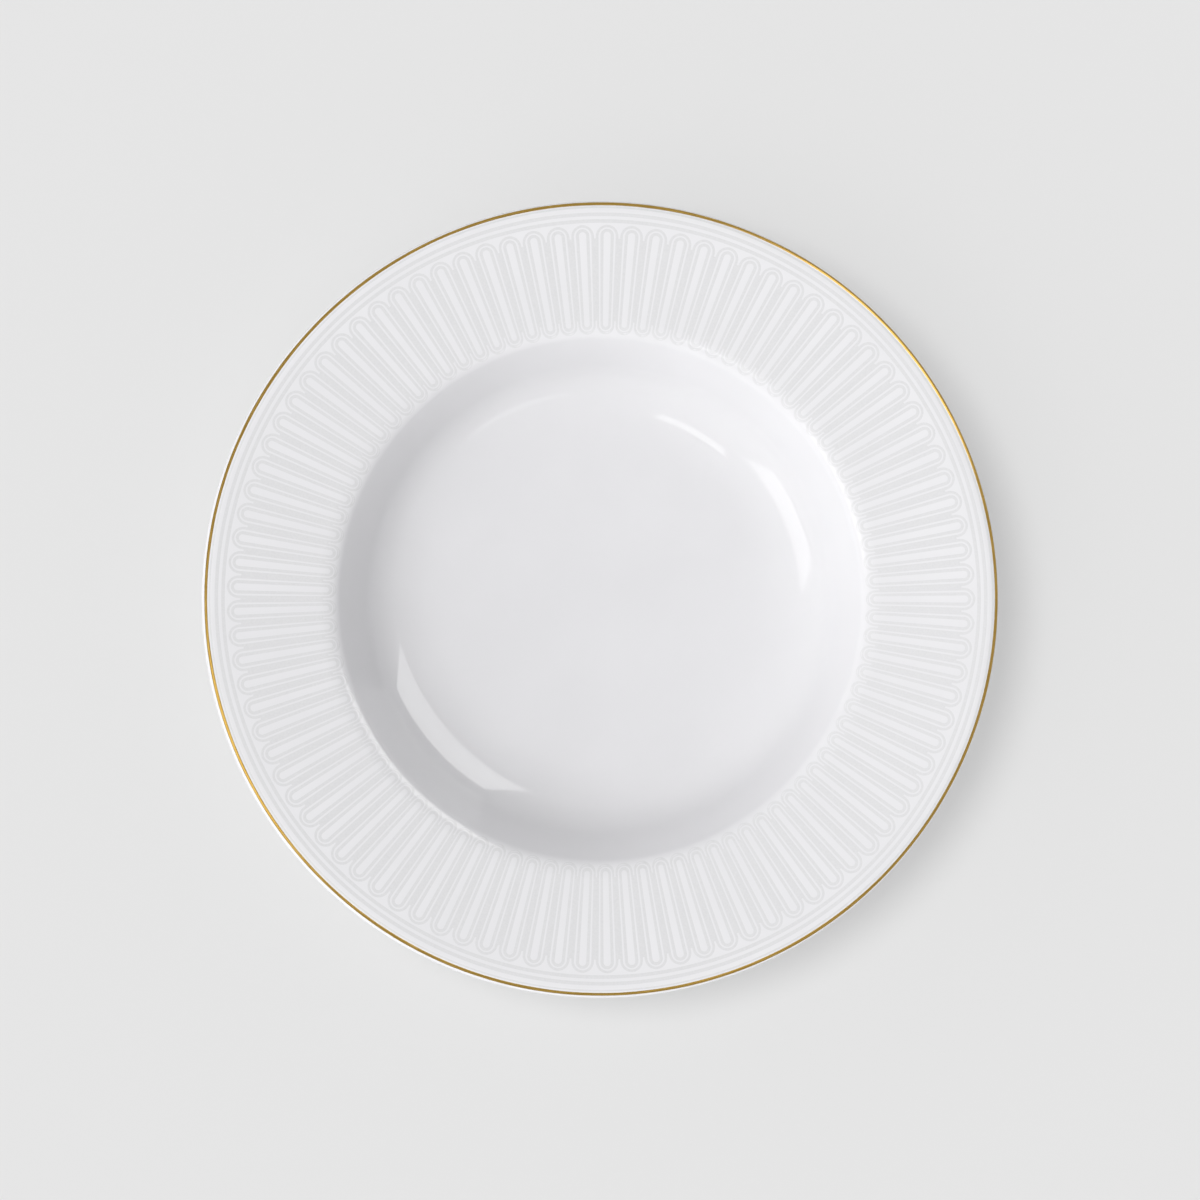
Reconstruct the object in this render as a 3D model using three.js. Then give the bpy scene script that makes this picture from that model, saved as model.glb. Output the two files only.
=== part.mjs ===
// Rimmed soup plate: a porcelain body on a foot ring, with a printed fluted band, ring lines and a gold edge.
// Millimetres and degrees, +Z up, axis on Z, standing on z = 0, with one flute centred on +X.
import * as THREE from "three";

// Overall
const PLATE_DIAMETER = 240;
const PLATE_HEIGHT = 35;

// Rim: a straight cone that rises outwards, then a soft crown and a rounded lip
const RIM_SLOPE = 4.5;
const RIM_THICKNESS = 3.7;
const CROWN_RADIUS = 8;
const LIP_START = 8; // slope at which the crown turns into the lip
const LIP_RADIUS = 2.1;

// Shoulder: a soft run-out from the rim, then a tight round down into the well
const WELL_DIAMETER = 158.5; // where the shoulder drops at SHOULDER_MIDDLE
const SHOULDER_MIDDLE = 45;
const SHOULDER_RADIUS = 4.6;
const RUNOUT_RADIUS = 13.5;
const RUNOUT_END = 20; // slope at which the run-out turns into the shoulder

// Well: a straight wall from the shoulder, a cove, a slow dish and a flat floor as wide as these leave
const WALL_SLOPE = 60;
const WALL_THICKNESS = 4;
const COVE_RADIUS = 17;
const DISH_RADIUS = 40;
const DISH_END = 21; // slope at which the dish turns into the cove
const FLOOR_THICKNESS = 4.2;
const UNDER_FILLET = 7; // below the shoulder, between wall and rim

// Foot ring
const FOOT_DIAMETER = 118;
const FOOT_HEIGHT = 2.9; // depth of the recess inside the ring
const FOOT_FACE_WIDTH = 3;
const FOOT_INNER_FLARE = 1.2;
const FOOT_OUTER_FLARE = 1.4;

// Print and gold, fired on the rim
const PRINT_THICKNESS = 0.05;
const GOLD_THICKNESS = 0.06;
const SEAT_GAP = 0.01;
const GOLD_START = 17; // slopes of the lip between which the gold lies
const GOLD_END = 52;
const EDGE_TO_LINE = 3.7; // from the plate's edge to the outer ring line
const RING_LINE_WIDTH = 1.07;
const LINE_TO_LINE = 0.93; // clear space between the two ring lines

// Fluted band: each flute has one cell, with a round-ended window in a round-ended frame
const FLUTE_COUNT = 93;
const LINE_TO_BAND = 0.64; // from the inner ring line to the frames' outer tips
const WELL_TO_BAND = 0.55; // from the well's edge to the frames' inner tips
const FRAME_END_WIDTH = 2.15; // from a frame's tip to its window's tip
const NOTCH_DEPTH = 4.05; // how far the gap between two frames runs in from their tips
const NOTCH_SHARE = 0.07; // of the cell's width that the gap takes
const WINDOW_SHARE = 0.29; // of the cell's width
const TIP_FLAT = 0.4; // half-width of a round end's last facet, as a share of its radius

// Facets along the profile's arcs
const COVE_STEPS = 2;
const DISH_STEPS = 2;
const SHOULDER_STEPS = 1; // from its middle to the wall
const UNDER_COVE_STEPS = 3;
const UNDER_FILLET_STEPS = 1;
const UNDER_LIP_STEPS = 2;

const PLATE_RADIUS = PLATE_DIAMETER / 2;
const FLOOR_TOP = FOOT_HEIGHT + FLOOR_THICKNESS;
const PLATE_AXIS = new THREE.Vector3(0, 0, 1);
const CELL_ANGLE = (2 * Math.PI) / FLUTE_COUNT;

const { degToRad, radToDeg } = THREE.MathUtils;

// Unit vector in the profile plane that leans out from +Z by an angle, so that 90 points away from the axis.
function leaning(degrees) {
  const angle = degToRad(degrees);
  return new THREE.Vector2(Math.sin(angle), Math.cos(angle));
}

function onCircle(centre, radius, lean) {
  return leaning(lean).multiplyScalar(radius).add(centre);
}

function arc(centre, radius, fromLean, toLean, steps) {
  return Array.from({ length: steps + 1 }, (_, step) =>
    onCircle(centre, radius, THREE.MathUtils.lerp(fromLean, toLean, step / steps)),
  );
}

// Centre of a circle that touches, from inside, a larger one at the given lean.
function touching(centre, radius, innerRadius, lean) {
  return onCircle(centre, radius - innerRadius, lean);
}

// Lip and crown: the crown's top gives the plate's height, the lip's side its diameter.
const lipToCrown = leaning(LIP_START).multiplyScalar(CROWN_RADIUS - LIP_RADIUS);
const crownCentre = new THREE.Vector2(PLATE_RADIUS - LIP_RADIUS - lipToCrown.x, PLATE_HEIGHT - CROWN_RADIUS);
const lipCentre = touching(crownCentre, CROWN_RADIUS, LIP_RADIUS, LIP_START);
const rimOuter = onCircle(crownCentre, CROWN_RADIUS, -RIM_SLOPE);

// Shoulder: its circle is set by the well's diameter, and touches the run-out, which touches the rim.
const shoulderX = WELL_DIAMETER / 2 + SHOULDER_RADIUS * leaning(SHOULDER_MIDDLE).x;
const runoutX = shoulderX + (RUNOUT_RADIUS - SHOULDER_RADIUS) * leaning(RUNOUT_END).x;
const rimInnerX = runoutX - RUNOUT_RADIUS * leaning(RIM_SLOPE).x;
const rimInnerZ = rimOuter.y - (rimOuter.x - rimInnerX) * Math.tan(degToRad(RIM_SLOPE));
const runoutCentre = new THREE.Vector2(runoutX, rimInnerZ - RUNOUT_RADIUS * leaning(RIM_SLOPE).y);
const shoulderCentre = touching(runoutCentre, RUNOUT_RADIUS, SHOULDER_RADIUS, -RUNOUT_END);

// Well: the cove touches wall and dish, and the dish the floor. Hollow arcs lean by 180 minus their slope.
const dishToCove = leaning(180 - DISH_END).multiplyScalar(DISH_RADIUS - COVE_RADIUS);
const coveZ = FLOOR_TOP + DISH_RADIUS + dishToCove.y;
const wallUp = leaning(WALL_SLOPE);
const coveToShoulderX = (COVE_RADIUS + SHOULDER_RADIUS + (shoulderCentre.y - coveZ) * wallUp.y) / wallUp.x;
const coveCentre = new THREE.Vector2(shoulderCentre.x - coveToShoulderX, coveZ);
const dishCentre = coveCentre.clone().sub(dishToCove);

// Underside: the cove and the wall are offset by the wall's thickness, and the rim by its own.
const underCoveRadius = COVE_RADIUS + WALL_THICKNESS;
const underLipRadius = RIM_THICKNESS - LIP_RADIUS;
const underLipCentre = new THREE.Vector2(PLATE_RADIUS - underLipRadius, lipCentre.y);
const footOuterTop = FOOT_DIAMETER / 2 + FOOT_OUTER_FLARE;
const footSlope = radToDeg(Math.asin((footOuterTop - coveCentre.x) / underCoveRadius));

// The circle of the fillet under the shoulder, outside both the wall's and the rim's lower lines.
function underFilletCentre() {
  const wallSide = leaning(180 - WALL_SLOPE);
  const rimSide = leaning(180 - RIM_SLOPE);
  const wallReach = coveCentre.dot(wallSide) + underCoveRadius + UNDER_FILLET;
  const rimReach = underLipCentre.dot(rimSide) + underLipRadius + UNDER_FILLET;
  const cross = wallSide.cross(rimSide);
  return new THREE.Vector2(
    (wallReach * rimSide.y - rimReach * wallSide.y) / cross,
    (rimReach * wallSide.x - wallReach * rimSide.x) / cross,
  );
}

// Height of the smooth top between the well's wall and the rim's outer end.
function rimHeight(radius) {
  if (radius >= rimInnerX) {
    return rimOuter.y - (rimOuter.x - radius) * Math.tan(degToRad(RIM_SLOPE));
  }
  const onRunout = radius >= onCircle(shoulderCentre, SHOULDER_RADIUS, -RUNOUT_END).x;
  const centre = onRunout ? runoutCentre : shoulderCentre;
  const round = onRunout ? RUNOUT_RADIUS : SHOULDER_RADIUS;
  return centre.y + Math.sqrt(round ** 2 - (radius - centre.x) ** 2);
}

const cellWidth = (radius) => radius * CELL_ANGLE;

// Rows of the band's cell from a tip inwards to its notch. print and window are where each begins, as shares
// of the cell's width from its side; a row with no window has print across its middle.
function bandEnd(tipRadius, inwards) {
  const frameRadius = tipRadius + inwards * FRAME_END_WIDTH;
  const notchRadius = tipRadius + inwards * NOTCH_DEPTH;
  const roundRadius = (cellWidth(notchRadius) * (1 - NOTCH_SHARE)) / 2;
  const belowCentre = Math.max(roundRadius - FRAME_END_WIDTH, 0);
  const cheek = Math.sqrt(roundRadius ** 2 - belowCentre ** 2);
  return [
    { radius: tipRadius, print: 0.5 - (TIP_FLAT * roundRadius) / cellWidth(tipRadius) },
    { radius: frameRadius, print: 0.5 - cheek / cellWidth(frameRadius), window: 0.5 - WINDOW_SHARE / 4 },
    { radius: notchRadius, print: 0, window: 0.5 - WINDOW_SHARE / 2 },
  ];
}

const outerLineOuter = PLATE_RADIUS - EDGE_TO_LINE;
const innerLineOuter = outerLineOuter - RING_LINE_WIDTH - LINE_TO_LINE;
const bandInnerEnd = bandEnd(WELL_DIAMETER / 2 + WELL_TO_BAND, 1);
const bandOuterEnd = bandEnd(innerLineOuter - RING_LINE_WIDTH - LINE_TO_BAND, -1);

// The body's profile, from the axis below, round the foot and the lip, to the axis on the floor.
const goldLeans = [GOLD_END, (GOLD_START + GOLD_END) / 2, GOLD_START];
const underProfile = [
  new THREE.Vector2(0, FOOT_HEIGHT),
  new THREE.Vector2(FOOT_DIAMETER / 2 - FOOT_FACE_WIDTH - FOOT_INNER_FLARE, FOOT_HEIGHT),
  new THREE.Vector2(FOOT_DIAMETER / 2 - FOOT_FACE_WIDTH, 0),
  new THREE.Vector2(FOOT_DIAMETER / 2, 0),
  ...arc(coveCentre, underCoveRadius, 180 - footSlope, 180 - WALL_SLOPE, UNDER_COVE_STEPS),
  ...arc(underFilletCentre(), UNDER_FILLET, -WALL_SLOPE, -RIM_SLOPE, UNDER_FILLET_STEPS),
  ...arc(underLipCentre, underLipRadius, 180 - RIM_SLOPE, 90, UNDER_LIP_STEPS),
];
const topProfile = [
  ...goldLeans.map((lean) => onCircle(lipCentre, LIP_RADIUS, lean)),
  onCircle(lipCentre, LIP_RADIUS, LIP_START),
  onCircle(crownCentre, CROWN_RADIUS, 0),
  rimOuter,
  ...bandInnerEnd.toReversed().map((row) => new THREE.Vector2(row.radius, rimHeight(row.radius))),
  ...arc(shoulderCentre, SHOULDER_RADIUS, -SHOULDER_MIDDLE, -WALL_SLOPE, SHOULDER_STEPS),
  ...arc(coveCentre, COVE_RADIUS, 180 - WALL_SLOPE, 180 - DISH_END, COVE_STEPS),
  ...arc(dishCentre, DISH_RADIUS, 180 - DISH_END, 180, DISH_STEPS).slice(1),
  new THREE.Vector2(0, FLOOR_TOP),
];

// The faceted top at a radius, between the profile's own points.
function onTop(radius) {
  const next = topProfile.findIndex((point) => point.x <= radius);
  const inner = topProfile[next];
  const outer = topProfile[next - 1];
  return inner.clone().lerp(outer, (radius - inner.x) / (outer.x - inner.x));
}

// Turns a profile about Z, with one flat facet for each flute.
function revolve(profile) {
  const start = Math.PI / 2 + CELL_ANGLE / 2;
  return new THREE.LatheGeometry(profile, FLUTE_COUNT, start).rotateX(Math.PI / 2);
}

const closed = (loop) => [...loop, loop[0]];

// A ring of print that follows the top between two radii.
function ringLine(outer) {
  const inner = outer - RING_LINE_WIDTH;
  const between = topProfile.filter((point) => point.x > inner && point.x < outer);
  const course = [onTop(outer), ...between, onTop(inner)];
  const lifted = (lift) => course.map((point) => new THREE.Vector2(point.x, point.y + SEAT_GAP + lift));
  return revolve(closed([...lifted(0).toReversed(), ...lifted(PRINT_THICKNESS)]));
}

function goldBand() {
  const seat = LIP_RADIUS + SEAT_GAP;
  const below = goldLeans.map((lean) => onCircle(lipCentre, seat, lean));
  const above = goldLeans.map((lean) => onCircle(lipCentre, seat + GOLD_THICKNESS, lean));
  return revolve(closed([...below.toReversed(), ...above]));
}

// A closed solid from a sheet of triangles: the sheet raised, its copy turned over, a wall on each free edge.
function thicken(points, triangles, thickness) {
  const sides = ([a, b, c]) => [
    [a, b],
    [b, c],
    [c, a],
  ];
  const count = points.length;
  const used = new Set(triangles.flatMap(sides).map(String));
  const faces = triangles.flatMap(([a, b, c]) => [a, b, c, c + count, b + count, a + count]);
  for (const [from, to] of triangles.flatMap(sides)) {
    if (!used.has(String([to, from]))) {
      faces.push(from, from + count, to + count, from, to + count, to);
    }
  }
  const raised = points.map((point) => new THREE.Vector3(point.x, point.y, point.z + thickness));
  return new THREE.BufferGeometry().setFromPoints([...raised, ...points]).setIndex(faces);
}

// The band as one lattice: each cell is bridged row by row, and neighbours share the points on their side.
function flutedBand() {
  const rows = [...bandInnerEnd, ...bandOuterEnd.toReversed()];
  const points = [];
  const numbers = new Map();
  const triangles = [];

  // Number of the point at a row. turn counts cells and shares of a cell from the side of the cell on +X.
  function pointAt(row, turn) {
    const around = turn % FLUTE_COUNT;
    const key = `${rows.indexOf(row)} ${around.toFixed(6)}`;
    if (!numbers.has(key)) {
      const cell = Math.floor(around);
      const corner = (side) =>
        new THREE.Vector3(row.radius, 0, onTop(row.radius).y + SEAT_GAP).applyAxisAngle(
          PLATE_AXIS,
          (cell + side - 0.5) * CELL_ANGLE,
        );
      numbers.set(key, points.length);
      points.push(corner(0).lerp(corner(1), around - cell));
    }
    return numbers.get(key);
  }

  // Triangles between two rows' points, taking next whichever row lags behind.
  function bridge(lower, upper, cell) {
    const lowerTurns = lower.turns.map((share) => cell + share);
    const upperTurns = upper.turns.map((share) => cell + share);
    let low = 0;
    let up = 0;
    while (low < lowerTurns.length - 1 || up < upperTurns.length - 1) {
      const from = [pointAt(lower.row, lowerTurns[low]), pointAt(upper.row, upperTurns[up])];
      const lowNext = lowerTurns[low + 1] ?? Infinity;
      const upNext = upperTurns[up + 1] ?? Infinity;
      if (upNext <= lowNext) {
        up += 1;
        triangles.push([...from, pointAt(upper.row, upNext)]);
      } else {
        low += 1;
        triangles.push([...from, pointAt(lower.row, lowNext)]);
      }
    }
  }

  const leftArm = (row) => ({ row, turns: [row.print, row.window] });
  const rightArm = (row) => ({ row, turns: [1 - row.window, 1 - row.print] });
  const whole = (row) => ({
    row,
    turns: row.window ? [row.print, row.window, 1 - row.window, 1 - row.print] : [row.print, 1 - row.print],
  });

  for (let cell = 0; cell < FLUTE_COUNT; cell += 1) {
    for (let index = 0; index + 1 < rows.length; index += 1) {
      const [lower, upper] = [rows[index], rows[index + 1]];
      const parts = lower.window && upper.window ? [leftArm, rightArm] : [whole];
      parts.forEach((part) => bridge(part(lower), part(upper), cell));
    }
  }
  return thicken(points, triangles, PRINT_THICKNESS);
}

const porcelain = { color: 0xecebed, roughness: 0.12, metalness: 0 };
const greyPrint = { color: 0xe1e1e3, roughness: 0.25, metalness: 0 };
const gold = { color: 0xc79a3a, roughness: 0.25, metalness: 1 };

const plate = new THREE.Group();
plate.name = "soup_plate";

function addPiece(name, geometry, look) {
  const mesh = new THREE.Mesh(geometry, new THREE.MeshStandardMaterial(look));
  mesh.name = name;
  plate.add(mesh);
}

addPiece("porcelain_body", revolve([...underProfile, ...topProfile]), porcelain);
addPiece("gold_edge_band", goldBand(), gold);
addPiece("outer_ring_line", ringLine(outerLineOuter), greyPrint);
addPiece("inner_ring_line", ringLine(innerLineOuter), greyPrint);
addPiece("fluted_band", flutedBand(), greyPrint);

export default plate;
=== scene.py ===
"""Rimmed soup plate in studio light: glazed porcelain with printed flutes, ring lines and a gold edge.

Metres and degrees, +Z up, the plate's axis on Z. Angles about the axis start at +X, the photograph's right.
"""
import math

import bpy
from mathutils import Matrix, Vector


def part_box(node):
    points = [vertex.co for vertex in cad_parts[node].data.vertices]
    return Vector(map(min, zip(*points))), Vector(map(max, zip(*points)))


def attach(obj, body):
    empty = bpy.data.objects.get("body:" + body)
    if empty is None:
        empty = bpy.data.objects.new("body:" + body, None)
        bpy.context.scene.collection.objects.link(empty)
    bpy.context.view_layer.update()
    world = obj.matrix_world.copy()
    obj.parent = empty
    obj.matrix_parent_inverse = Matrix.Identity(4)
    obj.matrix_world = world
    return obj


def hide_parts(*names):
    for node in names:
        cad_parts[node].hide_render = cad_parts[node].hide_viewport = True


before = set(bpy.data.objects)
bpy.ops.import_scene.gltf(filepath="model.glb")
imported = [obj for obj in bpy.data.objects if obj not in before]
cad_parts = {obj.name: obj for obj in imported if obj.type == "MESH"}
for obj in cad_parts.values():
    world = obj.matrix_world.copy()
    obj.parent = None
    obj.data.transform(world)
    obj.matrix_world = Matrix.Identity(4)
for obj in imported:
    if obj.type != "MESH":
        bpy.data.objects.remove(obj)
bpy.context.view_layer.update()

# Body: the same sizes as the solid that it replaces
RIM_SLOPE = 4.5
RIM_THICKNESS = 0.0037
CROWN_RADIUS = 0.008
LIP_START = 8  # slope at which the crown turns into the lip
LIP_RADIUS = 0.0021
WELL_DIAMETER = 0.1585  # where the shoulder drops at SHOULDER_MIDDLE
SHOULDER_MIDDLE = 45
SHOULDER_RADIUS = 0.0046
RUNOUT_RADIUS = 0.0135
RUNOUT_END = 20  # slope at which the run-out turns into the shoulder
WALL_SLOPE = 60
WALL_THICKNESS = 0.004
COVE_RADIUS = 0.017
DISH_RADIUS = 0.040
DISH_END = 21  # slope at which the dish turns into the cove
FLOOR_THICKNESS = 0.0042
UNDER_FILLET = 0.007
FOOT_DIAMETER = 0.118
FOOT_HEIGHT = 0.0029
FOOT_FACE_WIDTH = 0.003
FOOT_INNER_FLARE = 0.0012
FOOT_OUTER_FLARE = 0.0014

# Rounds of the foot ring, and the height below which its glaze is wiped off
RECESS_ROUND = 0.0015
FOOT_EDGE_ROUND = 0.0006
FOOT_ROOT_ROUND = 0.002
BARE_HEIGHT = 0.0004

# Print and gold: how far a film stands above the glaze and reaches below it, and how far off centre it all is
FILM_RISE = 0.00002
FILM_SINK = 0.00004
SHIFT_AZIMUTH = 30
SHIFT = 0.00035
GOLD_START = 17  # slopes of the lip between which the gold lies
GOLD_END = 46
GOLD_WANDER = 0.00004  # how far the brush strays from its line
GOLD_WAVES = ((7, 1.0), (16, 0.6), (41, 0.4))  # times round the edge, and each wave's weight
GOLD_PHASES = (0.5, 2.1)  # of its inner and its outer side
EDGE_TO_LINE = 0.0037
RING_LINE_WIDTH = 0.00107
LINE_TO_LINE = 0.00093
EDGE_TO_HAIRLINE = 0.00188
HAIRLINE_WIDTH = 0.0005

# Flutes: each line is a loop with two round ends, given by its half-width in cells and the radii of its tips
FLUTE_COUNT = 93
OUTLINE_HALF = 0.4625
OUTLINE_TIPS = (0.07980, 0.11259)
WINDOW_HALF = 0.353
WINDOW_TIPS = (0.08061, 0.11184)
RING_OUTER_HALF = 0.277
RING_OUTER_TIPS = (0.08103, 0.11139)
RING_INNER_HALF = 0.145
RING_INNER_TIPS = (0.08197, 0.11048)
NOTCH_RADII = (0.0838, 0.1085)  # between these the outlines of neighbours run into each other

# Fineness of the meshes. A flute's long sides also have points just beside the rim's bend and inside the
# notches.
STEPS_PER_FLUTE = 4
ARC_STEP = 4
LINE_STEP = 0.0025
FLUTE_END_STEPS = 14
LINE_ROWS = 2
GOLD_ROWS = 6
BESIDE_BEND = (0.0003, -0.0002)
INSIDE_NOTCH = 0.0004
SHARP_ANGLE = 35  # edges that turn by more than this aren't smoothed

# Camera: straight above, with the plate where the photograph has it, in the photograph's pixels
PHOTO_SIZE = 1200
PHOTO_CENTRE = (600, 599.6)
PHOTO_EDGE = 398.4  # radius of the plate's outline
LENS_MM = 200
SENSOR_MM = 36

# Colours, linear
GLAZE_COLOURS = ((0.722, 0.719, 0.736), (0.780, 0.777, 0.794))
BISCUIT_COLOURS = ((0.68, 0.65, 0.60), (0.76, 0.73, 0.68))
PRINT_COLOURS = ((0.671, 0.670, 0.681), (0.707, 0.706, 0.718))
GOLD_COLOURS = ((0.34, 0.21, 0.04), (0.48, 0.315, 0.085))

# Surfaces: scales are how often a noise repeats in a metre, and depths are those of the bumps it makes
NOISE_RANGE = (0.3, 0.7)  # most of a noise's values lie between these
PAINTED_SHADE_HEIGHTS = (0.029, 0.034)  # heights between which a painted shade fades out, from the darker well to the lighter rim
PAINTED_SHADE_TONES = (0.37, 0.63)  # at those heights, where NOISE_RANGE stands for GLAZE_COLOURS: the lower tone is painted shade on the well and all below the rim
CLOUD_SCALE = 35
CLOUD_TONE = 0.07  # how far the clouds stray from those tones
WAVE_SCALE = 55
WAVE_DEPTH = 0.000004
GRAIN_SCALE = 650
GRAIN_DEPTH = 0.0000003
GLAZE_ROUGHNESS = (0.006, 0.014)
BISCUIT_SCALE = 300
SAND_SCALE = 2500
SAND_DEPTH = 0.00006
BISCUIT_ROUGHNESS = (0.7, 0.9)
MOTTLE_SCALE = 1800
PRINT_GRAIN_DEPTH = 0.0000012
PRINT_ROUGHNESS = (0.10, 0.18)
STROKES_PER_RADIAN = 12.0  # marks of the brush round the edge
STROKES_PER_METRE = 9000.0  # marks of the brush up the lip
STROKE_DEPTH = 0.000004
GOLD_ROUGHNESS = (0.18, 0.34)

# Light: a dome that is brightest low down, above all at the window's side, and two suns with soft edges. The
# suns' levels on the floor set how deep the plate's shadow is.
WINDOW_AZIMUTH = 210
DOME_LEVEL = 1.02  # at the horizon
DOME_FALL = 3  # the power with which it fades upwards
DOME_LEAN = 0.86  # by how much it is brighter towards the window
DOME_LEAN_FALL = 4  # the power with which that fades away from the window
KEY_SUN = {"azimuth": 159, "elevation": 72, "spread": 24, "plate_level": 0.21, "floor_level": 0.65}
WINDOW_SUN = {"azimuth": 220, "elevation": 65, "spread": 60, "plate_level": 0.545, "floor_level": 0.2}

# Panels that the glaze and the gold reflect. Towards its top edge each fades to a share of its radiance, over
# a share of its height.
LAMP_DISTANCE = 3.0
WINDOW_PANEL = {
    "azimuth": 203, "elevation": 44.2, "size": (1.30, 1.50), "radiance": 2.0, "top": 0.0, "fade": 0.18,
}
HIGH_PANEL = {
    "azimuth": 241, "elevation": 63.4, "size": (0.55, 0.33), "radiance": 2.4, "top": 0.0, "fade": 0.3,
}
LOW_PANEL = {
    "azimuth": 294, "elevation": 46.6, "size": (1.09, 0.74), "radiance": 1.0, "top": 0.0, "fade": 0.5,
}
FILL_PANEL = {
    "azimuth": 41, "elevation": 34.3, "size": (1.98, 2.34), "radiance": 3.4, "top": 0.7, "fade": 0.45,
}

# Floor: its colour where it is lit, the even look that is seen beside that, and the share of the lit part
FLOOR_COLOUR = 0.67
FLOOR_ROUGHNESS = 0.9
BACKDROP = 0.783
FLOOR_SHADOW_SHARE = 0.43
FLOOR_HALF_SIZE = 10

FLUTE_ANGLE = 2 * math.pi / FLUTE_COUNT
body_low, body_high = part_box("porcelain_body")
PLATE_RADIUS = min(body_high.x, body_high.y, -body_low.x, -body_low.y)
PLATE_HEIGHT = body_high.z
FLOOR_TOP = FOOT_HEIGHT + FLOOR_THICKNESS


# Profile geometry

def leaning(degrees):
    """Unit vector in the profile plane that leans out from +Z by an angle."""
    angle = math.radians(degrees)
    return Vector((math.sin(angle), math.cos(angle)))


def on_circle(centre, radius, lean):
    """Point of a circle in the profile plane, seen from its centre at an angle from +Z."""
    return centre + radius * leaning(lean)


def arc(centre, radius, from_lean, to_lean):
    """Points of a circle between two angles, both ends included, no further apart than ARC_STEP."""
    steps = math.ceil(abs(to_lean - from_lean) / ARC_STEP)
    turn = (to_lean - from_lean) / steps
    return [on_circle(centre, radius, from_lean + step * turn) for step in range(steps + 1)]


def rounded(before, corner, after, radius):
    """Points of the round that takes the place of a corner between two straight stretches."""
    arm_in = (before - corner).normalized()
    arm_out = (after - corner).normalized()
    half = arm_in.angle(arm_out) / 2
    centre = corner + (arm_in + arm_out).normalized() * radius / math.sin(half)
    start = corner + arm_in * radius / math.tan(half) - centre
    end = corner + arm_out * radius / math.tan(half) - centre
    start_lean = math.degrees(math.atan2(start.x, start.y))
    turn = math.degrees(math.atan2(end.x, end.y)) - start_lean
    turn = (turn + 180) % 360 - 180
    return arc(centre, radius, start_lean, start_lean + turn)


def with_short_steps(points):
    """The same profile, with points added so that no straight stretch is longer than LINE_STEP."""
    course = [points[0]]
    for start, end in zip(points, points[1:]):
        steps = math.ceil((end - start).length / LINE_STEP) or 1
        course += [start.lerp(end, step / steps) for step in range(1, steps + 1)]
    return course


# Lip and crown, then the shoulder, which touches the run-out, which touches the rim
lip_to_crown = leaning(LIP_START) * (CROWN_RADIUS - LIP_RADIUS)
crown_centre = Vector((PLATE_RADIUS - LIP_RADIUS - lip_to_crown.x, PLATE_HEIGHT - CROWN_RADIUS))
lip_centre = crown_centre + lip_to_crown
rim_outer = on_circle(crown_centre, CROWN_RADIUS, -RIM_SLOPE)
shoulder_x = WELL_DIAMETER / 2 + SHOULDER_RADIUS * leaning(SHOULDER_MIDDLE).x
runout_x = shoulder_x + (RUNOUT_RADIUS - SHOULDER_RADIUS) * leaning(RUNOUT_END).x
rim_inner_x = runout_x - RUNOUT_RADIUS * leaning(RIM_SLOPE).x
rim_inner_z = rim_outer.y - (rim_outer.x - rim_inner_x) * math.tan(math.radians(RIM_SLOPE))
runout_centre = Vector((runout_x, rim_inner_z - RUNOUT_RADIUS * leaning(RIM_SLOPE).y))
shoulder_centre = on_circle(runout_centre, RUNOUT_RADIUS - SHOULDER_RADIUS, -RUNOUT_END)

# Well: the cove touches wall and dish, and the dish the floor
dish_to_cove = leaning(180 - DISH_END) * (DISH_RADIUS - COVE_RADIUS)
cove_z = FLOOR_TOP + DISH_RADIUS + dish_to_cove.y
wall_up = leaning(WALL_SLOPE)
cove_to_shoulder = (COVE_RADIUS + SHOULDER_RADIUS + (shoulder_centre.y - cove_z) * wall_up.y) / wall_up.x
cove_centre = Vector((shoulder_centre.x - cove_to_shoulder, cove_z))
dish_centre = cove_centre - dish_to_cove

# Underside: the cove and the wall offset by the wall's thickness, and the rim by its own
under_cove_radius = COVE_RADIUS + WALL_THICKNESS
under_lip_radius = RIM_THICKNESS - LIP_RADIUS
under_lip_centre = Vector((PLATE_RADIUS - under_lip_radius, lip_centre.y))
foot_top_x = FOOT_DIAMETER / 2 + FOOT_OUTER_FLARE
foot_slope = math.degrees(math.asin((foot_top_x - cove_centre.x) / under_cove_radius))


def under_fillet_centre():
    """Centre of the round below the shoulder, outside both the wall's and the rim's lower lines."""
    wall_side = leaning(180 - WALL_SLOPE)
    rim_side = leaning(180 - RIM_SLOPE)
    wall_reach = cove_centre.dot(wall_side) + under_cove_radius + UNDER_FILLET
    rim_reach = under_lip_centre.dot(rim_side) + under_lip_radius + UNDER_FILLET
    cross = wall_side.x * rim_side.y - wall_side.y * rim_side.x
    x = (wall_reach * rim_side.y - rim_reach * wall_side.y) / cross
    z = (rim_reach * wall_side.x - wall_reach * rim_side.x) / cross
    return Vector((x, z))


def foot_profile(under_cove):
    """The recess and the foot ring, up to the first points of the underside's cove."""
    axis = Vector((0, FOOT_HEIGHT))
    recess = Vector((FOOT_DIAMETER / 2 - FOOT_FACE_WIDTH - FOOT_INNER_FLARE, FOOT_HEIGHT))
    inner_edge = Vector((FOOT_DIAMETER / 2 - FOOT_FACE_WIDTH, 0))
    outer_edge = Vector((FOOT_DIAMETER / 2, 0))
    root, next_point = under_cove[:2]
    return [
        axis,
        *rounded(axis, recess, inner_edge, RECESS_ROUND),
        *rounded(recess, inner_edge, outer_edge, FOOT_EDGE_ROUND),
        *rounded(inner_edge, outer_edge, root, FOOT_EDGE_ROUND),
        *rounded(outer_edge, root, next_point, FOOT_ROOT_ROUND),
    ]


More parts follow.
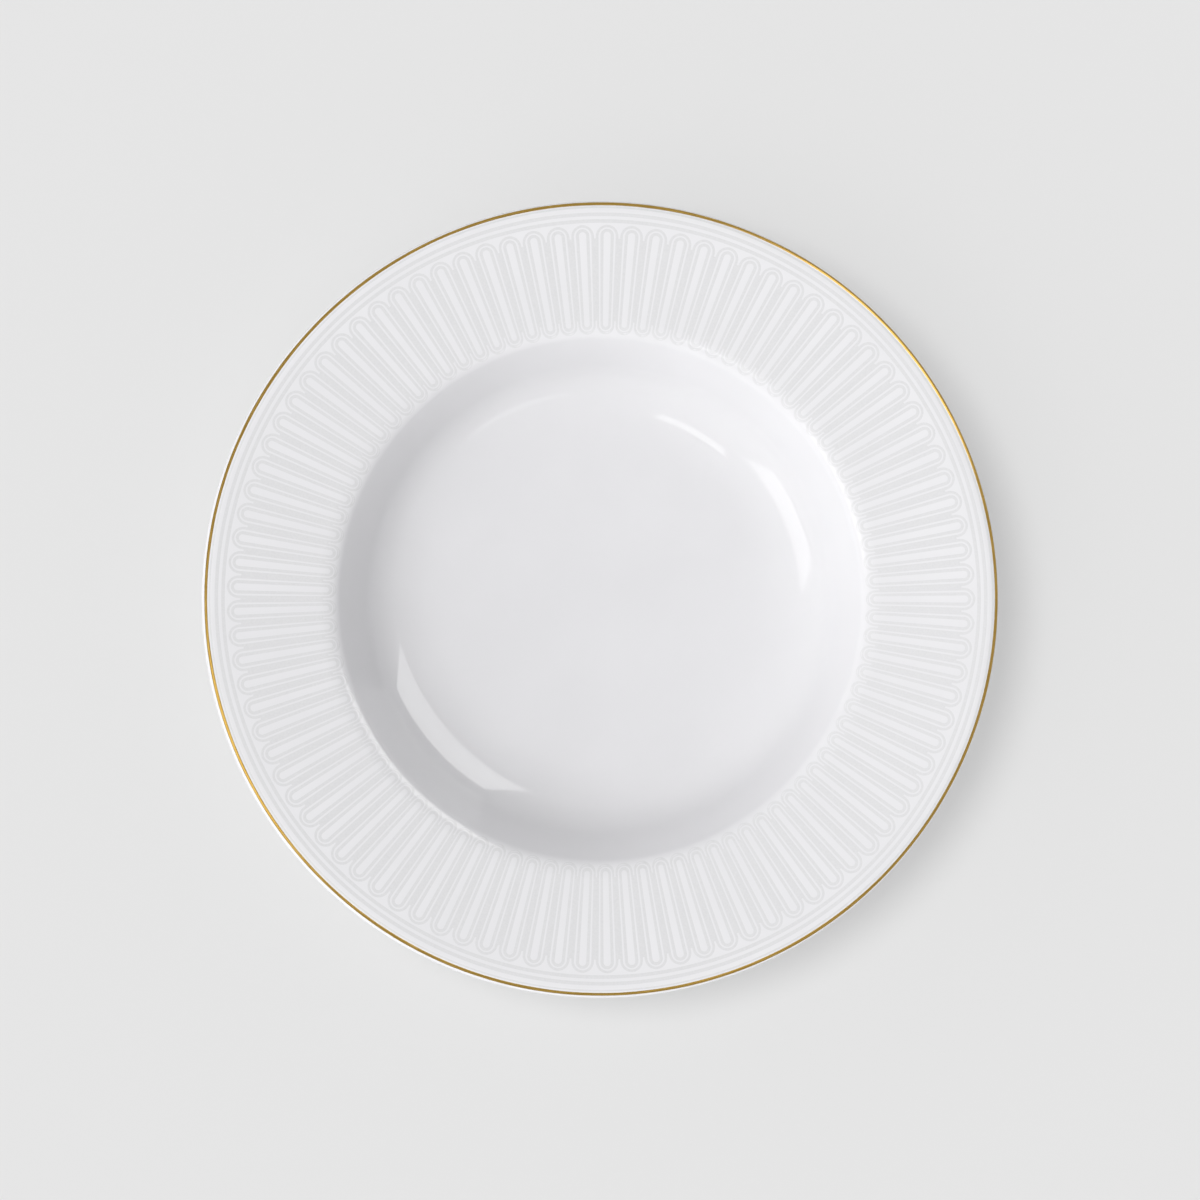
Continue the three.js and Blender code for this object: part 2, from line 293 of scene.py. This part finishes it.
def body_profile():
    """From the axis below, round the foot and the lip, to the axis on the well's floor."""
    under_cove = arc(cove_centre, under_cove_radius, 180 - foot_slope, 180 - WALL_SLOPE)
    points = [
        *foot_profile(under_cove),
        *under_cove[1:],
        *arc(under_fillet_centre(), UNDER_FILLET, -WALL_SLOPE, -RIM_SLOPE),
        *arc(under_lip_centre, under_lip_radius, 180 - RIM_SLOPE, 90),
        *arc(lip_centre, LIP_RADIUS, 90, LIP_START)[1:],
        *arc(crown_centre, CROWN_RADIUS, LIP_START, -RIM_SLOPE)[1:],
        *arc(runout_centre, RUNOUT_RADIUS, -RIM_SLOPE, -RUNOUT_END),
        *arc(shoulder_centre, SHOULDER_RADIUS, -RUNOUT_END, -WALL_SLOPE)[1:],
        *arc(cove_centre, COVE_RADIUS, 180 - WALL_SLOPE, 180 - DISH_END),
        *arc(dish_centre, DISH_RADIUS, 180 - DISH_END, 180)[1:],
        Vector((0, FLOOR_TOP)),
    ]
    return with_short_steps(points)


def top_at(radius):
    """Point of the rim's top at a radius, and the direction that faces away from the glaze there."""
    stretches = (
        (shoulder_centre, SHOULDER_RADIUS, on_circle(shoulder_centre, SHOULDER_RADIUS, -RUNOUT_END).x),
        (runout_centre, RUNOUT_RADIUS, rim_inner_x),
        (None, None, rim_outer.x),
        (crown_centre, CROWN_RADIUS, on_circle(crown_centre, CROWN_RADIUS, LIP_START).x),
        (lip_centre, LIP_RADIUS, PLATE_RADIUS),
    )
    centre, bend = next((centre, bend) for centre, bend, end in stretches if radius <= end)
    if centre is None:
        height = rim_outer.y - (rim_outer.x - radius) * math.tan(math.radians(RIM_SLOPE))
        return Vector((radius, height)), leaning(-RIM_SLOPE)
    out = math.asin((radius - centre.x) / bend)
    away = Vector((math.sin(out), math.cos(out)))
    return centre + bend * away, away


# What each sun shines on
lit_plate = bpy.data.collections.new("lit_plate")
lit_floor = bpy.data.collections.new("lit_floor")


# Meshes

def towards(azimuth, elevation):
    """Unit vector in a direction from the plate."""
    turn, rise = math.radians(azimuth), math.radians(elevation)
    return Vector((math.cos(turn) * math.cos(rise), math.sin(turn) * math.cos(rise), math.sin(rise)))


def place(point, turn):
    """A profile point turned about the axis, with turn counted in flutes."""
    angle = turn * FLUTE_ANGLE
    return Vector((point.x * math.cos(angle), point.x * math.sin(angle), point.y))


def add_object(name, points, faces, materials, replaced):
    """A smooth mesh object that rides on the plate and stands for the named nodes."""
    mesh = bpy.data.meshes.new(name)
    mesh.from_pydata(points, [], faces)
    mesh.shade_smooth()
    mesh.set_sharp_from_angle(angle=math.radians(SHARP_ANGLE))
    for material in materials:
        mesh.materials.append(material)
    piece = bpy.data.objects.new(name, mesh)
    bpy.context.collection.objects.link(piece)
    lit_plate.objects.link(piece)
    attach(piece, "root")
    if replaced:
        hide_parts(*replaced)
    return piece


def revolved(profile):
    """Points and faces of a closed body turned from a profile that starts and ends on the axis."""
    steps = FLUTE_COUNT * STEPS_PER_FLUTE
    rings = profile[1:-1]
    points = [place(point, step / STEPS_PER_FLUTE) for point in rings for step in range(steps)]
    low_pole = len(points)
    high_pole = low_pole + 1
    points += [place(profile[0], 0), place(profile[-1], 0)]
    last = (len(rings) - 1) * steps
    faces = []
    for step in range(steps):
        after = (step + 1) % steps
        faces.append((low_pole, after, step))
        for ring in range(0, last, steps):
            faces.append((ring + step, ring + after, ring + steps + after, ring + steps + step))
        faces.append((last + step, last + after, high_pole))
    return points, faces


class Film:
    """A thin layer on the rim's top, gathered face by face from corners given as radius and turn."""

    def __init__(self):
        self.numbers = {}
        self.faces = []

    def number(self, radius, turn):
        """Number of a corner's point, the same for corners that fall together."""
        key = (round(radius, 8), round(turn, 6) % FLUTE_COUNT)
        return self.numbers.setdefault(key, len(self.numbers))

    def add(self, corners):
        """One face, anticlockwise from above. Corners that fall together count once."""
        face = list(dict.fromkeys(self.number(*corner) for corner in corners))
        if len(face) > 2:
            self.faces.append(face)

    def level(self, lift):
        """All points, shifted as the decoration is and moved off the glaze by a lift."""
        shift = SHIFT * towards(SHIFT_AZIMUTH, 0)
        moved = []
        for radius, turn in self.numbers:
            spot = place(Vector((radius, 0)), turn) + shift
            point, away = top_at(spot.length)
            moved.append(place(point + lift * away, math.atan2(spot.y, spot.x) / FLUTE_ANGLE))
        return moved

    def closed(self):
        """Points and faces of the closed body: the layer, its underside and a wall on each free edge."""
        count = len(self.numbers)
        edges = [edge for face in self.faces for edge in zip(face, face[1:] + face[:1])]
        known = set(edges)
        faces = list(self.faces)
        faces += [[corner + count for corner in reversed(face)] for face in self.faces]
        faces += [(a, a + count, b + count, b) for a, b in edges if (b, a) not in known]
        return self.level(FILM_RISE) + self.level(-FILM_SINK), faces

    def add_between(self, outer_loop, inner_loop):
        """A band of faces between two loops of as many points."""
        after = zip(outer_loop[1:] + outer_loop[:1], inner_loop[1:] + inner_loop[:1])
        for (outer, inner), (next_outer, next_inner) in zip(zip(outer_loop, inner_loop), after):
            self.add((outer, next_outer, next_inner, inner))


def ring_film(rows, radius_at):
    """A film all round the rim. radius_at gives the radius for a row's share of the width and a turn."""
    film = Film()
    steps = FLUTE_COUNT * STEPS_PER_FLUTE
    turns = [step / STEPS_PER_FLUTE for step in range(steps)]
    for turn, after in zip(turns, turns[1:] + turns[:1]):
        for row in range(rows):
            near, far = row / rows, (row + 1) / rows
            film.add((
                (radius_at(near, turn), turn),
                (radius_at(far, turn), turn),
                (radius_at(far, after), after),
                (radius_at(near, after), after),
            ))
    return film


def line_film(outer, width):
    """A printed ring of even width."""
    return ring_film(LINE_ROWS, lambda share, turn: outer - width * (1 - share))


def gold_film():
    """The gold line on the lip, with the slow wander of a hand-held brush on both its sides."""
    inner = on_circle(lip_centre, LIP_RADIUS, GOLD_START).x
    outer = on_circle(lip_centre, LIP_RADIUS, GOLD_END).x

    def wander(turn, phase):
        angle = turn * FLUTE_ANGLE
        total = 0
        for number, (times, weight) in enumerate(GOLD_WAVES, start=1):
            total += weight * math.sin(times * angle + number * phase)
        return GOLD_WANDER * total / sum(weight for _, weight in GOLD_WAVES)

    def radius_at(share, turn):
        near = inner + wander(turn, GOLD_PHASES[0])
        far = outer + wander(turn, GOLD_PHASES[1])
        return near + (far - near) * share

    return ring_film(GOLD_ROWS, radius_at)


def flute_loop(half, tips, sides):
    """One flute's line as (radius, share of a cell) pairs: over its outer end, in, over its inner end, out.

    sides lists the points of its right side from outside in, and is mirrored for the left.
    """
    def end(tip, outwards):
        centre = tip / (1 + outwards * half * FLUTE_ANGLE)
        round_radius = half * centre * FLUTE_ANGLE
        points = []
        for step in range(FLUTE_END_STEPS + 1):
            across = math.pi * (step / FLUTE_END_STEPS - 0.5)
            radius = centre + outwards * round_radius * math.cos(across)
            points.append((radius, round_radius * math.sin(across) / (radius * FLUTE_ANGLE)))
        return points

    left = [(radius, -share) for radius, share in reversed(sides)]
    return [*end(tips[1], 1), *sides, *reversed(end(tips[0], -1)), *left]


def in_cell(loop, cell):
    """A flute's loop as (radius, turn) pairs, moved to its place on the rim."""
    return [(radius, cell + share) for radius, share in loop]


# Radii at which the long sides of the flutes have points
notch_inner, notch_outer = NOTCH_RADII
rim_bend = [rim_inner_x + shift for shift in BESIDE_BEND]
below_notch = notch_inner - INSIDE_NOTCH


def straight_sides(half):
    """The right side of a flute's line, with the notch radii given twice to match the outlines."""
    radii = [notch_outer, notch_outer, *rim_bend, notch_inner, notch_inner, below_notch]
    return [(radius, half) for radius in radii]


def outline_sides():
    """The right side of a flute's outline, which runs out to its neighbour between the notches."""
    shared = [notch_outer, *rim_bend, notch_inner]
    return [
        (notch_outer, OUTLINE_HALF),
        *((radius, 0.5) for radius in shared),
        (notch_inner, OUTLINE_HALF),
        (below_notch, OUTLINE_HALF),
    ]


def flutes_film(outer_loop, inner_loop):
    """The band between two loops, once for each flute."""
    film = Film()
    for cell in range(FLUTE_COUNT):
        film.add_between(in_cell(outer_loop, cell), in_cell(inner_loop, cell))
    return film


# Materials

class Nodes:
    """Short way to add nodes to a material or world and to link them."""

    def __init__(self, owner):
        owner.use_nodes = True
        self.tree = owner.node_tree

    def add(self, kind, inputs=(), **settings):
        made = self.tree.nodes.new("ShaderNode" + kind)
        for name, value in settings.items():
            setattr(made, name, value)
        self.feed(made, inputs)
        return made

    def feed(self, node, inputs):
        """Sets or links a node's sockets, given as a dict from socket name to a value or an output."""
        for socket, value in dict(inputs).items():
            if isinstance(value, bpy.types.NodeSocket):
                self.tree.links.new(value, node.inputs[socket])
            else:
                node.inputs[socket].default_value = value

    def noise(self, place_output, scale, detail=2.0):
        return self.add("TexNoise", {"Vector": place_output, "Scale": scale, "Detail": detail}).outputs["Fac"]

    def mapped(self, value, before, after, **settings):
        """A value moved from one range to another, and held inside it."""
        limits = {"From Min": before[0], "From Max": before[1], "To Min": after[0], "To Max": after[1]}
        return self.add("MapRange", {"Value": value, **limits}, **settings).outputs["Result"]

    def ranged(self, value, low, high):
        """Noise, which keeps to the middle of its range, stretched between two values."""
        return self.mapped(value, NOISE_RANGE, (low, high))

    def tinted(self, value, colours):
        """Noise as a colour between two."""
        ramp = self.add("ValToRGB", {"Fac": value})
        for element, position, colour in zip(ramp.color_ramp.elements, NOISE_RANGE, colours):
            element.position = position
            element.color = (*colour, 1)
        return ramp.outputs["Color"]

    def calc(self, operation, first, second):
        return self.add("Math", {0: first, 1: second}, operation=operation).outputs["Value"]

    def seen(self):
        """One for what the camera sees, directly or in a surface, and nought for light on matt surfaces."""
        paths = self.add("LightPath").outputs
        direct = self.calc("MAXIMUM", paths["Is Camera Ray"], paths["Is Glossy Ray"])
        return self.calc("MAXIMUM", direct, paths["Is Transmission Ray"])

    def bumped(self, height, depth, under=None):
        inputs = {"Height": height, "Distance": depth, "Strength": 1.0}
        if under:
            inputs["Normal"] = under
        return self.add("Bump", inputs).outputs["Normal"]


def grey(level):
    return (level, level, level, 1)


def new_surface(name):
    """A material's nodes, its shader and the place in metres on the object."""
    material = bpy.data.materials.new(name)
    nodes = Nodes(material)
    shader = nodes.tree.nodes["Principled BSDF"]
    return material, nodes, shader, nodes.add("TexCoord").outputs["Object"]


def glaze_material():
    """White porcelain glaze, with painted shade that makes all below the rim darker than the rim: faint
    clouds, slow waves and a fine grain.
    """
    material, nodes, shader, spot = new_surface("porcelain_glaze_painted_shade")
    clouds = nodes.noise(spot, CLOUD_SCALE)
    height = nodes.add("SeparateXYZ", {"Vector": spot}).outputs["Z"]
    # Painted shade: the glaze's colour darkens below the rim's height, in place of the well's shade.
    painted_well_shade = nodes.mapped(height, PAINTED_SHADE_HEIGHTS, PAINTED_SHADE_TONES)
    tone = nodes.calc("ADD", painted_well_shade, nodes.ranged(clouds, -CLOUD_TONE, CLOUD_TONE))
    waves = nodes.bumped(nodes.noise(spot, WAVE_SCALE), WAVE_DEPTH)
    nodes.feed(shader, {
        "Base Color": nodes.tinted(tone, GLAZE_COLOURS),
        "Roughness": nodes.ranged(clouds, *GLAZE_ROUGHNESS),
        "Normal": nodes.bumped(nodes.noise(spot, GRAIN_SCALE), GRAIN_DEPTH, waves),
    })
    return material


def biscuit_material():
    """Bare fired clay on the foot ring: matt and sandy."""
    material, nodes, shader, spot = new_surface("bare_biscuit")
    sand = nodes.noise(spot, SAND_SCALE, detail=4.0)
    nodes.feed(shader, {
        "Base Color": nodes.tinted(nodes.noise(spot, BISCUIT_SCALE), BISCUIT_COLOURS),
        "Roughness": nodes.ranged(sand, *BISCUIT_ROUGHNESS),
        "Normal": nodes.bumped(sand, SAND_DEPTH),
    })
    return material


def print_material():
    """Ceramic colour fired on to the glaze: a little uneven, and glossy."""
    material, nodes, shader, spot = new_surface("grey_print")
    mottle = nodes.noise(spot, MOTTLE_SCALE, detail=3.0)
    nodes.feed(shader, {
        "Base Color": nodes.tinted(mottle, PRINT_COLOURS),
        "Roughness": nodes.ranged(mottle, *PRINT_ROUGHNESS),
        "Normal": nodes.bumped(nodes.noise(spot, GRAIN_SCALE), PRINT_GRAIN_DEPTH),
    })
    return material


def gold_material():
    """Fired and polished gold, with fine marks of the brush along the edge."""
    material, nodes, shader, spot = new_surface("fired_gold")
    parts = nodes.add("SeparateXYZ", {"Vector": spot})
    around = nodes.calc("ARCTAN2", parts.outputs["Y"], parts.outputs["X"])
    along = nodes.calc("MULTIPLY", around, STROKES_PER_RADIAN)
    height = nodes.calc("MULTIPLY", parts.outputs["Z"], STROKES_PER_METRE)
    course = nodes.add("CombineXYZ", {"X": along, "Y": height})
    strokes = nodes.noise(course.outputs["Vector"], 1.0, detail=3.0)
    nodes.feed(shader, {
        "Base Color": nodes.tinted(strokes, GOLD_COLOURS),
        "Metallic": 1.0,
        "Roughness": nodes.ranged(strokes, *GOLD_ROUGHNESS),
        "Normal": nodes.bumped(strokes, STROKE_DEPTH),
    })
    return material


def floor_material():
    """Pale studio floor. Part of what is seen of it is evenly lit, so that the plate's shadow stays soft."""
    material = bpy.data.materials.new("studio_floor")
    nodes = Nodes(material)
    shader = nodes.tree.nodes["Principled BSDF"]
    nodes.feed(shader, {
        "Base Color": grey(FLOOR_COLOUR),
        "Roughness": FLOOR_ROUGHNESS,
        "Specular IOR Level": 0.0,
    })
    glow = nodes.add("Emission", {"Color": grey(BACKDROP), "Strength": 1.0})
    share = nodes.calc("MULTIPLY", nodes.seen(), 1 - FLOOR_SHADOW_SHARE)
    look = nodes.add("MixShader", {0: share, 1: shader.outputs["BSDF"], 2: glow.outputs["Emission"]})
    nodes.feed(nodes.tree.nodes["Material Output"], {"Surface": look.outputs["Shader"]})
    return material


# Pieces

def add_plate():
    profile = body_profile()
    points, faces = revolved(profile)
    plate = add_object(
        "plate_body", points, faces, [glaze_material(), biscuit_material()], ["porcelain_body"]
    )
    for polygon in plate.data.polygons:
        highest = max(plate.data.vertices[corner].co.z for corner in polygon.vertices)
        polygon.material_index = int(highest < BARE_HEIGHT)


def add_film(name, film, material, replaced):
    points, faces = film.closed()
    add_object(name, points, faces, [material], replaced)


def add_decoration():
    ink = print_material()
    outer_line = PLATE_RADIUS - EDGE_TO_LINE
    inner_line = outer_line - RING_LINE_WIDTH - LINE_TO_LINE
    hairline = PLATE_RADIUS - EDGE_TO_HAIRLINE
    add_film("gold_edge", gold_film(), gold_material(), ["gold_edge_band"])
    add_film("edge_hairline", line_film(hairline, HAIRLINE_WIDTH), ink, [])
    add_film("outer_ring", line_film(outer_line, RING_LINE_WIDTH), ink, ["outer_ring_line"])
    add_film("inner_ring", line_film(inner_line, RING_LINE_WIDTH), ink, ["inner_ring_line"])
    outlines = flute_loop(OUTLINE_HALF, OUTLINE_TIPS, outline_sides())
    windows = flute_loop(WINDOW_HALF, WINDOW_TIPS, straight_sides(WINDOW_HALF))
    rings_outer = flute_loop(RING_OUTER_HALF, RING_OUTER_TIPS, straight_sides(RING_OUTER_HALF))
    rings_inner = flute_loop(RING_INNER_HALF, RING_INNER_TIPS, straight_sides(RING_INNER_HALF))
    add_film("flute_outlines", flutes_film(outlines, windows), ink, ["fluted_band"])
    add_film("flute_rings", flutes_film(rings_outer, rings_inner), ink, ["fluted_band"])


# Stage, lights and camera

def add_floor():
    corners = [(-1, -1), (1, -1), (1, 1), (-1, 1)]
    mesh = bpy.data.meshes.new("studio_floor")
    mesh.from_pydata([(FLOOR_HALF_SIZE * x, FLOOR_HALF_SIZE * y, 0) for x, y in corners], [], [(0, 1, 2, 3)])
    mesh.materials.append(floor_material())
    floor = bpy.data.objects.new("studio_floor", mesh)
    bpy.context.collection.objects.link(floor)
    lit_floor.objects.link(floor)


def add_lamp(name, kind, azimuth, elevation):
    """A lamp that faces the plate's middle and isn't seen by the camera."""
    data = bpy.data.lights.new(name, kind)
    lamp = bpy.data.objects.new(name, data)
    direction = towards(azimuth, elevation)
    lamp.location = direction * LAMP_DISTANCE
    lamp.rotation_euler = direction.to_track_quat("Z", "Y").to_euler()
    lamp.visible_camera = False
    bpy.context.collection.objects.link(lamp)
    return lamp


def add_sun(name, azimuth, elevation, spread, plate_level, floor_level):
    """A sun for the plate and one for the floor. A level is the share of full white on what faces the sun."""
    for lit, level in ((lit_plate, plate_level), (lit_floor, floor_level)):
        sun = add_lamp(f"{name}_{lit.name}", "SUN", azimuth, elevation)
        sun.data.energy = math.pi * level
        sun.data.angle = math.radians(spread)
        sun.visible_glossy = False
        sun.light_linking.receiver_collection = lit


def add_panel(name, azimuth, elevation, size, radiance, top, fade):
    """A panel that is seen in glaze and gold, and casts no light on matt surfaces."""
    panel = add_lamp(name, "AREA", azimuth, elevation)
    panel.data.shape = "RECTANGLE"
    panel.data.size, panel.data.size_y = size
    panel.data.energy = math.pi * radiance * size[0] * size[1]
    panel.visible_diffuse = False
    nodes = Nodes(panel.data)
    place_on_panel = nodes.add("NewGeometry").outputs["Parametric"]
    height = nodes.add("SeparateXYZ", {"Vector": place_on_panel}).outputs["Y"]
    glow = nodes.mapped(height, (1.0, 1.0 - fade), (top, 1.0), interpolation_type="SMOOTHSTEP")
    nodes.feed(nodes.tree.nodes["Emission"], {"Strength": glow})


def add_world():
    """A soft dome that is brighter towards the window. An even backdrop is seen in its place."""
    world = bpy.data.worlds.new("studio_dome")
    bpy.context.scene.world = world
    nodes = Nodes(world)
    window = towards(WINDOW_AZIMUTH, 0)
    gaze = nodes.add("TexCoord").outputs["Generated"]
    facing = nodes.add("VectorMath", {0: gaze, 1: window}, operation="DOT_PRODUCT").outputs["Value"]
    turned = nodes.mapped(facing, (-1.0, 1.0), (0.0, 1.0))
    lean = nodes.calc("MULTIPLY", nodes.calc("POWER", turned, DOME_LEAN_FALL), DOME_LEAN)
    up = nodes.add("SeparateXYZ", {"Vector": gaze}).outputs["Z"]
    sideways = nodes.calc("SUBTRACT", 1, nodes.calc("POWER", up, 2))
    low = nodes.calc("POWER", sideways, DOME_FALL)
    level = nodes.calc("ADD", lean, nodes.calc("MULTIPLY", low, DOME_LEVEL))
    dome = nodes.tree.nodes["Background"]
    nodes.feed(dome, {"Color": grey(1), "Strength": level})
    backdrop = nodes.add("Background", {"Color": grey(BACKDROP), "Strength": 1.0})
    look = nodes.add("MixShader", {
        0: nodes.seen(), 1: dome.outputs["Background"], 2: backdrop.outputs["Background"],
    })
    nodes.feed(nodes.tree.nodes["World Output"], {"Surface": look.outputs["Shader"]})


def add_camera():
    pixel = PLATE_RADIUS / PHOTO_EDGE
    data = bpy.data.cameras.new("camera")
    data.lens = LENS_MM
    data.sensor_width = SENSOR_MM
    camera = bpy.data.objects.new("camera", data)
    height = lip_centre.y + PHOTO_SIZE * pixel * LENS_MM / SENSOR_MM
    right = (PHOTO_SIZE / 2 - PHOTO_CENTRE[0]) * pixel
    up = (PHOTO_CENTRE[1] - PHOTO_SIZE / 2) * pixel
    camera.location = (right, up, height)
    bpy.context.collection.objects.link(camera)
    bpy.context.scene.camera = camera


add_plate()
add_decoration()
add_floor()
add_sun("key_sun", **KEY_SUN)
add_sun("window_sun", **WINDOW_SUN)
add_panel("window_panel", **WINDOW_PANEL)
add_panel("high_panel", **HIGH_PANEL)
add_panel("low_panel", **LOW_PANEL)
add_panel("fill_panel", **FILL_PANEL)
add_world()
add_camera()
bpy.context.scene.view_settings.view_transform = "Standard"
